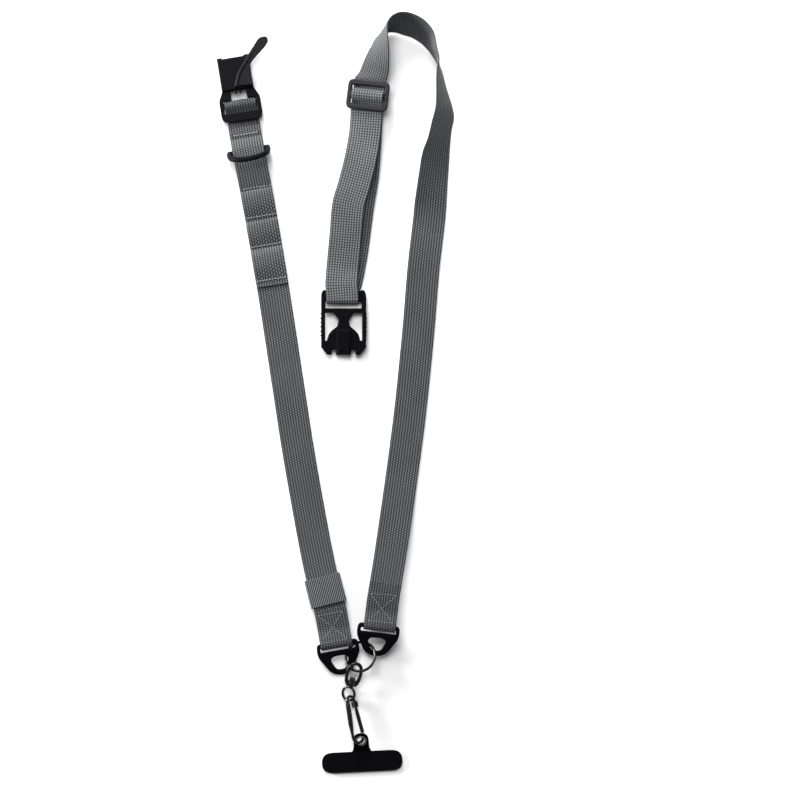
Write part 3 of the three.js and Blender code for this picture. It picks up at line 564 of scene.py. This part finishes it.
# The height of the weave at a share u across and a distance v along, from 0 in a gap to 1 on a float
def wovenHeight(u, v, pattern, row):
    column = np.minimum(np.floor(u * webbing["columns"]), webbing["columns"] - 1)
    inColumn = u * webbing["columns"] - column
    phase = v / row + column * pattern
    warp = np.abs(np.sin(np.pi * inColumn)) ** webbing["warpPower"]
    weft = np.abs(np.sin(np.pi * phase)) ** webbing["weftPower"]
    return warp * (webbing["dip"] + (1 - webbing["dip"]) * weft)


# A flat grid, and the column and the row that each of its corners is in
def gridPiece(columns, rows):
    deselect()
    bpy.ops.mesh.primitive_grid_add(x_subdivisions=columns, y_subdivisions=rows, size=1)
    piece = bpy.context.object
    flat = np.zeros(len(piece.data.vertices) * 3)
    piece.data.vertices.foreach_get("co", flat)
    flat = flat.reshape(-1, 3) + 0.5
    column = np.rint(flat[:, 0] * columns).astype(int)
    row = np.rint(flat[:, 1] * rows).astype(int)
    return piece, column, row


# Brings a grid into its closed shape, with the height of the weave, which the look turns into painted shade
# and highlight, and the place on the cloth for its look
def wrapGrid(piece, points, height, cloth):
    mesh = piece.data
    mesh.vertices.foreach_set("co", points.reshape(-1))
    mesh.attributes.new("weave", "FLOAT", "POINT").data.foreach_set("value", height.astype(np.float32))
    loops = np.zeros(len(mesh.loops), dtype=int)
    mesh.loops.foreach_get("vertex_index", loops)
    uv = np.stack(cloth, axis=1)[loops]
    mesh.uv_layers["UVMap"].data.foreach_set("uv", uv.reshape(-1).astype(np.float32))
    editMode(piece)
    bpy.ops.mesh.remove_doubles(threshold=touching)
    bpy.ops.mesh.select_all(action="SELECT")
    bpy.ops.mesh.fill_holes(sides=0)
    bpy.ops.mesh.select_all(action="SELECT")
    bpy.ops.mesh.normals_make_consistent(inside=False)
    objectMode()
    bpy.ops.object.shade_smooth()


def weaveBand(path, pattern, leans):
    width = webbing["width"] * mm
    thick = webbing["thickness"] * mm
    across = webbing["columns"] * webbing["around"]
    below = webbing["columns"] * webbing["under"]
    edge = webbing["edgeFaces"]
    turning = np.cos(np.linspace(0, np.pi, edge + 1))[1:-1]
    over, under = np.linspace(0, 1, across + 1), np.linspace(1, 0, below + 1)
    share = np.concatenate([over, np.ones(edge - 1), under, np.zeros(edge - 1), [0]])
    up = np.concatenate([np.ones(across + 1), turning, -np.ones(below + 1), -turning, [1]])
    bulge = np.zeros_like(share)
    bulge[across + 1:across + edge] = 1
    bulge[-edge:-1] = -1
    piece, column, row = gridPiece(len(share) - 1, len(path["at"]) - 1)
    at = path["at"][row]
    rowPitch = path["at"][-1] / max(1, round(path["at"][-1] / (webbing["rowPitch"] * mm)))
    # The weave's height shapes the band and is kept for the look's painted shade and highlight.
    height = wovenHeight(share[column], at, pattern, rowPitch)
    edgeLow, edgeRise = webbing["edgeHeight"]
    edgeHeight = edgeLow + edgeRise * np.abs(np.sin(np.pi * at / rowPitch))
    height = np.where(bulge[column] != 0, edgeHeight, height)
    relief = webbing["relief"] * mm
    half = thick / 2 - relief
    rise = up[column] * (half + relief * height)
    inset = webbing["edgeInset"] * mm
    rounding = bulge[column] * np.sqrt(np.clip(1 - up[column] ** 2, 0, 1))
    side = (share[column] - 0.5) * (width - 2 * inset) + inset * rounding
    points = path["middle"][row] + path["across"][row] * side[:, None]
    points += path["normal"][row] * rise[:, None]
    if leans:
        way = path["middle"][-1] - path["middle"][0]
        way /= np.linalg.norm(way)
        right = side * np.sign(path["across"][row][:, 0])
        reach = lean["reach"] * mm + lean["slant"] * right
        points -= way * (leanOf(path)[row] * reach)[:, None]
    wrapGrid(piece, points, height, (share[column] * width, at))
    return piece


# The pattern is the shift of each column of the weave beside the last, as a share of a row. A crease is
# softened from one distance along the band to another, over a reach on either side.
paths = {}
straps = {
    "left_strap": {"piece": "leftWebbing", "pattern": 0.34, "look": "arms"},
    "right_strap": {"piece": "rightWebbing", "pattern": 0.34, "look": "arms", "soften": (180, 265, 9)},
    "adjuster_strap": {"piece": "adjusterWebbing", "pattern": 0.0, "look": "adjuster"},
    "gear_loop_band": {"piece": "gearLoopWebbing", "pattern": 0.5, "look": "loops", "leans": True},
}
bands = {node: bandRows(node) for node in straps}
bands["adjuster_strap"], bands["right_strap"] = moveJoint(
    bands["adjuster_strap"], bands["right_strap"], webbing["jointBack"])
for node, row in straps.items():
    rows = bands[node]
    length = np.linalg.norm(np.diff(rows.mean(axis=1), axis=0), axis=1).sum()
    cells = round(length / (webbing["rowPitch"] * mm))
    paths[node] = smoothRows(rows, cells * webbing["along"] + 1)
    if "soften" in row:
        soften(paths[node], *row["soften"])
    piece = weaveBand(paths[node], row["pattern"], row.get("leans", False))
    finishPiece(piece, row["piece"], looks[row["look"]], "webbing", "strap", node)
    print(node, round(length / mm, 1), "mm long,", len(piece.data.polygons), "faces")


# Webbing sleeve: ribs run slantwise round an oval tube. Around, along, rim and inner count faces.
sleeve = {
    "around": 240,
    "along": 72,
    "rim": 3,
    "inner": 8,
    "wall": 1.2,
    "round": 1.4,
    "twill": 1.95,
    "slant": 3.4,
    "relief": 0.24,
    "ribPower": 1.5,
    "wallHeight": 0.4,
    "rimRound": 0.25,
    # The tint turns rib height into painted shade in the grooves and a painted highlight on the rib tops.
    "tint": (0.05, 0.9),
}


# Middle, directions and half sizes of a straight piece, across, along and up
def mainAxes(node):
    points = cornersOf(node)[0]
    across, along, up = np.linalg.svd(points - points.mean(axis=0), full_matrices=False)[2]
    across = across * np.sign(across[0])
    along = along * np.sign(along[1])
    axes = np.stack([across, along, np.cross(across, along)])
    turned = points @ axes.T
    low, high = turned.min(axis=0), turned.max(axis=0)
    return (low + high) / 2 @ axes, axes, (high - low) / 2


# Places and outward directions in even steps round a rounded rectangle, and its length round
def roundedBox(count, half, high, corner):
    wide, tall = half - corner, high - corner
    corners = [(wide, tall), (wide, -tall), (-wide, -tall), (-wide, tall)]
    arc = math.pi * corner / 2
    runs = [2 * wide, 2 * tall, 2 * wide, 2 * tall]
    total = sum(runs) + 4 * arc
    rows = []
    for step in range(count):
        side, d = 0, step / count * total
        while d > runs[side] + arc:
            d -= runs[side] + arc
            side += 1
        turn = math.pi / 2 * (1 - side)
        if d > runs[side]:
            angle = turn - (d - runs[side]) / corner
            back = 0
        else:
            angle = turn
            back = runs[side] - d
        x, y = corners[side]
        outX, outY = math.cos(angle), math.sin(angle)
        wayX, wayY = math.sin(turn), -math.cos(turn)
        rows.append((x - wayX * back + corner * outX, y - wayY * back + corner * outY, outX, outY))
    return np.array(rows), total


def buildSleeve(node, name):
    middle, axes, half = mainAxes(node)
    across, along, up = axes
    wall, relief = sleeve["wall"] * mm, sleeve["relief"] * mm
    around, count, rim, inner = sleeve["around"], sleeve["along"], sleeve["rim"], sleeve["inner"]
    section = [(k / count, 0.0) for k in range(count + 1)]
    section += [(1, (k + 1) / (rim + 1)) for k in range(rim)]
    section += [(1 - k / inner, 1.0) for k in range(inner + 1)]
    section += [(0, 1 - (k + 1) / (rim + 1)) for k in range(rim)]
    section.append(section[0])
    piece, column, row = gridPiece(around, len(section) - 1)
    column = column % around
    oval, total = roundedBox(around, half[0], half[2], sleeve["round"] * mm)
    share, depth = np.array(section)[row].T
    v = (share - 0.5) * 2 * half[1]
    u = column / around * total
    ribs = round(total / (sleeve["twill"] * mm))
    wave = np.abs(np.sin(np.pi * (u / total * ribs - v / (sleeve["slant"] * mm))))
    height = np.where(depth == 0, wave ** sleeve["ribPower"], sleeve["wallHeight"])
    rimRound = sleeve["rimRound"] * mm
    edge = np.sin(np.pi * np.clip(depth, 0, 1)) * np.sign(share - 0.5) * rimRound
    v = v * (1 - 2 * rimRound / half[1]) + edge
    inset = relief * (1 - height) + depth * (wall - 2 * relief)
    x = oval[column, 0] - oval[column, 2] * inset
    y = oval[column, 1] - oval[column, 3] * inset
    points = middle + across * x[:, None] + along * v[:, None] + up * y[:, None]
    # The rib height goes to the look as painted shade: dark in the grooves between ribs, light on their tops,
    # a middle tone on the walls.
    wrapGrid(piece, points, sleeve["tint"][0] + sleeve["tint"][1] * height, (u, v))
    return finishPiece(piece, name, looks["sleeve"], "webbing", "strap", node)


buildSleeve("keeper_loop", "keeperSleeve")
print("webbing done")


# Stitches: one short thread, bent down at both ends, is laid along each seam.
stitching = {
    "length": 1.9,
    "pitch": 2.5,
    "thick": 0.38,
    "sides": 6,
    "lift": 0.12,
    "bends": (-0.3, 0.3),
    "thinner": 0.35,
    "drop": 0.3,
    "layer": 1.2,
}


def makeThread():
    deselect()
    bpy.ops.mesh.primitive_cylinder_add(
        vertices=stitching["sides"], radius=stitching["thick"] / 2 * mm, depth=stitching["length"] * mm)
    thread = bpy.context.object
    editMode(thread)
    bpy.ops.transform.rotate(value=math.pi / 2, orient_axis="Y", center_override=(0, 0, 0))
    for bend in stitching["bends"]:
        bpy.ops.mesh.select_all(action="SELECT")
        bpy.ops.mesh.bisect(plane_co=(bend * mm, 0, 0), plane_no=(1, 0, 0))
    objectMode()
    half = stitching["length"] / 2 * mm
    for v in thread.data.vertices:
        end = abs(v.co.x) / half
        thinner = 1 - stitching["thinner"] * end ** 2
        v.co.y *= thinner
        v.co.z = v.co.z * thinner - stitching["drop"] * mm * end ** 2
    return thread


thread = makeThread()
threadPoints = np.array([v.co[:] for v in thread.data.vertices])
threadFaces = [list(p.vertices) for p in thread.data.polygons]
bpy.data.objects.remove(thread)


# Point and directions along, across and up on the upper face of a band
def onBand(path, distance, across):
    i = int(np.clip(np.searchsorted(path["at"], distance * mm), 1, len(path["at"]) - 2))
    tangent = path["middle"][i + 1] - path["middle"][i - 1]
    tangent /= np.linalg.norm(tangent)
    up = path["normal"][i] * np.sign(path["normal"][i][2])
    middle = path["middle"][i] + path["across"][i] * across * mm
    point = middle + up * (webbing["thickness"] / 2 + stitching["lift"]) * mm
    return point, tangent, path["across"][i], up


# Distance along and across the topmost layer of a band, at a place in the picture
def spot(path, px, py):
    offset = np.array(plan(px, py))[:2] - path["middle"][:, :2]
    across = path["across"][:, :2]
    share = (offset * across).sum(axis=1)
    beside = np.linalg.norm(offset - across * share[:, None], axis=1)
    close = np.where(beside < beside.min() + stitching["layer"] * mm)[0]
    i = close[np.argmax(path["middle"][close, 2])]
    return path["at"][i] / mm, share[i] / mm


# Stitches from one spot to another
def seam(path, start, end):
    start, end = np.array(start, float), np.array(end, float)
    reach = np.linalg.norm(end - start)
    count = max(1, round(reach / stitching["pitch"]))
    way = (end - start) / reach
    laid = []
    for k in range(count):
        at = start + (end - start) * (k + 0.5) / count
        point, tangent, across, up = onBand(path, at[0], at[1])
        x = tangent * way[0] + across * way[1]
        x /= np.linalg.norm(x)
        laid.append((point, x, np.cross(up, x), up))
    return laid


def sewPiece(name, laid, look):
    points, faces = [], []
    for point, x, y, z in laid:
        first = len(points) * len(threadPoints)
        points.append(point + threadPoints @ np.stack([x, y, z]))
        faces += [[first + i for i in face] for face in threadFaces]
    mesh = bpy.data.meshes.new(name)
    mesh.from_pydata(np.concatenate(points).tolist(), [], faces)
    piece = bpy.data.objects.new(name, mesh)
    bpy.context.scene.collection.objects.link(piece)
    mesh.shade_smooth()
    return finishPiece(piece, name, look, "webbing", "strap")


# Two rows of stitches with a cross between them
def crossed(a, b, c, d):
    return [(a, b), (c, d), (a, d), (b, c)]


seams = {
    "bandStitches": {"node": "gear_loop_band", "look": "loopThread", "lines": [
        [(234.2, 137.0), (258.4, 133.8)],
        [(243.0, 190.6), (272.6, 186.4)],
        [(246.8, 220.0), (275.2, 214.6)],
        [(251.4, 248.8), (281.6, 243.8)],
        [(256.8, 282.8), (286.8, 277.6)],
    ]},
    "leftFlapStitches": {"node": "left_strap", "look": "thread", "lines": crossed(
        (317.6, 614.0), (342.4, 609.4), (321.2, 641.4), (348.0, 636.6))},
    "rightFlapStitches": {"node": "right_strap", "look": "thread", "lines": crossed(
        (371.0, 591.6), (397.0, 594.0), (368.4, 618.0), (393.6, 620.8))},
}
for name, row in seams.items():
    path = paths[row["node"]]
    laid = []
    for start, end in row["lines"]:
        laid += seam(path, spot(path, *start), spot(path, *end))
    sewPiece(name, laid, looks[row["look"]])
print("stitches done")


# Hardware: the CAD node's own shape, made of even fine faces with rounded edges
def cadCopy(node, name):
    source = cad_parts[node]
    mesh = source.data.copy()
    mesh.transform(source.matrix_world)
    piece = bpy.data.objects.new(name, mesh)
    bpy.context.scene.collection.objects.link(piece)
    editMode(piece)
    bpy.ops.mesh.remove_doubles(threshold=touching)
    bpy.ops.mesh.select_all(action="SELECT")
    bpy.ops.mesh.normals_make_consistent(inside=False)
    objectMode()
    return piece


def volumeAndArea(piece):
    mesh = piece.data
    mesh.calc_loop_triangles()
    points = np.zeros(len(mesh.vertices) * 3)
    mesh.vertices.foreach_get("co", points)
    corners = np.zeros(len(mesh.loop_triangles) * 3, dtype=int)
    mesh.loop_triangles.foreach_get("vertices", corners)
    a, b, c = points.reshape(-1, 3)[corners.reshape(-1, 3)].transpose(1, 0, 2)
    volume = (a * np.cross(b, c)).sum() / 6
    area = np.linalg.norm(np.cross(b - a, c - a), axis=1).sum() / 2
    return volume, area


# Fine even faces, smoothed, then grown along the normals by what the smoothing took off and a little more
def castShape(piece, cell, smooth, grow):
    before = volumeAndArea(piece)[0]
    applyModifier(piece, "REMESH", mode="VOXEL", voxel_size=cell * mm, use_smooth_shade=True)
    applyModifier(piece, "SMOOTH", factor=0.5, iterations=smooth)
    after, area = volumeAndArea(piece)
    applyModifier(piece, "DISPLACE", strength=(before - after) / area + grow * mm, mid_level=0)
    bpy.ops.object.shade_smooth()


def joinTo(piece, extra):
    makeActive(piece)
    extra.select_set(True)
    bpy.ops.object.join()


# A box joined to a piece before its faces are made even, with its turn in degrees
def addBlock(piece, place, size, turn):
    deselect()
    bpy.ops.mesh.primitive_cube_add(size=1)
    block = bpy.context.object
    editMode(block)
    bpy.ops.transform.resize(value=size, center_override=(0, 0, 0))
    bpy.ops.transform.rotate(value=-math.radians(turn), orient_axis="Z", center_override=(0, 0, 0))
    bpy.ops.transform.translate(value=place)
    objectMode()
    joinTo(piece, block)


# A round bead through points, joined to a piece
def addBead(piece, points, radii, sides):
    points = np.array(points)
    rings, faces = [], []
    for k, point in enumerate(points):
        way = points[min(k + 1, len(points) - 1)] - points[max(k - 1, 0)]
        way /= np.linalg.norm(way)
        side = np.cross(way, (0, 0, 1))
        side /= np.linalg.norm(side)
        over = np.cross(side, way)
        rings += [point + radii[k] * (math.cos(a) * side + math.sin(a) * over)
                  for a in np.linspace(0, 2 * math.pi, sides, endpoint=False)]
        if k:
            first = (k - 1) * sides
            faces += [[first + a, first + (a + 1) % sides, first + sides + (a + 1) % sides, first + sides + a]
                      for a in range(sides)]
    faces += [list(range(sides))[::-1], [len(rings) - sides + a for a in range(sides)]]
    mesh = bpy.data.meshes.new("bead")
    mesh.from_pydata(rings, [], faces)
    bead = bpy.data.objects.new("bead", mesh)
    bpy.context.scene.collection.objects.link(bead)
    editMode(bead)
    bpy.ops.mesh.normals_make_consistent(inside=False)
    objectMode()
    joinTo(piece, bead)


# The plug's teeth and raised mark, in millimetres from its webbing bar and in degrees
plugDetail = {
    "barBelowTop": 7.4,
    "rail": 17.4,
    "firstTooth": -11.2,
    "pitch": 3.4,
    "teeth": 6,
    "tooth": 1.3,
    "toothHigh": 4.2,
    "toothTurn": 45,
    "toothMiddle": 0.45,
    "mark": (-2.4, -39.0),
    "markSize": (0.8, 3.6, 0.7),
    "markTurn": -28,
    "markUp": 0.05,
}


def dressPlug(piece):
    low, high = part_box("plug_buckle")
    origin = Vector(((low.x + high.x) / 2, high.y - plugDetail["barBelowTop"] * mm, low.z))
    tooth, tall = plugDetail["tooth"] * mm, plugDetail["toothHigh"] * mm
    up = (high.z - low.z) * plugDetail["toothMiddle"]
    for side in (-1, 1):
        for k in range(plugDetail["teeth"]):
            y = plugDetail["firstTooth"] - k * plugDetail["pitch"]
            place = origin + Vector((side * plugDetail["rail"] * mm, y * mm, up))
            addBlock(piece, place, (tooth, tooth, tall), plugDetail["toothTurn"])
    x, y = plugDetail["mark"]
    place = Vector((origin.x + x * mm, origin.y + y * mm, high.z + plugDetail["markUp"] * mm))
    addBlock(piece, place, tuple(v * mm for v in plugDetail["markSize"]), plugDetail["markTurn"])


# The socket's frame, turned in degrees, and the bead along the left edge of its tab: its points are
# shares of the socket's half width and of its length.
socketFrame = {
    "turn": 9.3,
    "top": 36.9,
    "half": 12.4,
    "length": 36.0,
}
tabBead = {
    "points": [(-0.1, 0.37), (0.04, 0.5), (0.16, 0.6), (0.34, 0.7),
               (0.62, 0.81), (0.98, 0.955), (1.32, 1.08)],
    "radius": 0.95,
    "thinner": 0.45,
    "thinnerPower": 3,
    "inset": 0.9,
    "down": 0.3,
    "sunk": 0.1,
    "sides": 14,
}


# A place in the socket's frame, from its webbing bar
def socketPoint(x, y):
    points = cornersOf("socket_buckle")[0][:, :2]
    turn = math.radians(socketFrame["turn"])
    right = np.array((math.cos(turn), math.sin(turn)))
    up = np.array((-math.sin(turn), math.cos(turn)))
    across = points @ right
    middle = (across.min() + across.max()) / 2
    base = (points @ up).max() - socketFrame["top"] * mm
    return right * (middle + x * mm) + up * (base + y * mm)


def dressTab(piece):
    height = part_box("pull_tab")[1].z - tabBead["sunk"] * mm
    points, radii = [], []
    last = len(tabBead["points"]) - 1
    for k, (x, y) in enumerate(tabBead["points"]):
        across = x * socketFrame["half"] + tabBead["inset"]
        along = y * socketFrame["length"] - tabBead["down"]
        points.append((*socketPoint(across, along), height))
        thinner = tabBead["thinner"] * (k / last) ** tabBead["thinnerPower"]
        radii.append(tabBead["radius"] * mm * (1 - thinner))
    steps = np.linspace(0, last, 2 * last + 1)
    fine = np.stack([np.interp(steps, range(last + 1), line) for line in zip(*points)], axis=1)
    addBead(piece, fine, np.interp(steps, range(last + 1), radii), tabBead["sides"])


# Each piece of hardware with the size of its faces, its rounds of smoothing, its growth, look and body
details = {"plug_buckle": dressPlug, "pull_tab": dressTab}
slots = {
    "moulded": "moulded_plastic",
    "plug": "moulded_plastic",
    "slider": "moulded_plastic",
    "tab": "tab_rubber",
    "metal": "black_metal",
    "patch": "patch_sheet",
    "eyelet": "eyelet_metal",
}
hardware = {
    "strap_slider": {"piece": "slider", "cell": 0.2, "smooth": 8, "look": "slider"},
    "triangle_ring_left": {"piece": "leftTriangle", "cell": 0.2, "smooth": 6, "look": "moulded"},
    "triangle_ring_right": {"piece": "rightTriangle", "cell": 0.2, "smooth": 6, "look": "moulded"},
    # The plug's look is the moulded plastic with painted shade.
    "plug_buckle": {"piece": "plug", "cell": 0.24, "smooth": 5, "look": "plug"},
    "socket_buckle": {"piece": "socket", "cell": 0.27, "smooth": 4, "look": "moulded"},
    "pull_tab": {"piece": "releaseTab", "cell": 0.18, "smooth": 8, "look": "tab"},
    "d_ring": {"piece": "dRing", "cell": 0.18, "smooth": 6, "grow": 0.04, "look": "moulded", "body": "d_ring"},
    "main_ring": {"piece": "roundRing", "cell": 0.13, "smooth": 12, "grow": 0.15, "look": "metal"},
    "swivel_shackle": {"piece": "shackle", "cell": 0.13, "smooth": 8, "grow": 0.12, "look": "metal"},
    "swivel_eye": {"piece": "eye", "cell": 0.12, "smooth": 8, "grow": 0.12, "look": "metal", "body": "swivel"},
    "hook_body": {"piece": "hook", "cell": 0.13, "smooth": 8, "grow": 0.1, "look": "metal", "body": "swivel"},
    "hook_gate": {"piece": "gate", "cell": 0.12, "smooth": 8, "grow": 0.08, "look": "metal", "body": "gate"},
    "phone_patch": {"piece": "patch", "cell": 0.2, "smooth": 4, "look": "patch", "body": "swivel"},
    "patch_eyelet": {"piece": "eyelet", "cell": 0.1, "smooth": 4, "look": "eyelet", "body": "swivel"},
}
for node, row in hardware.items():
    piece = cadCopy(node, row["piece"])
    if node in details:
        details[node](piece)
    castShape(piece, row["cell"], row["smooth"], row.get("grow", 0.0))
    finishPiece(piece, row["piece"], looks[row["look"]], slots[row["look"]], row.get("body", "strap"), node)
    print(node, len(piece.data.polygons), "faces")
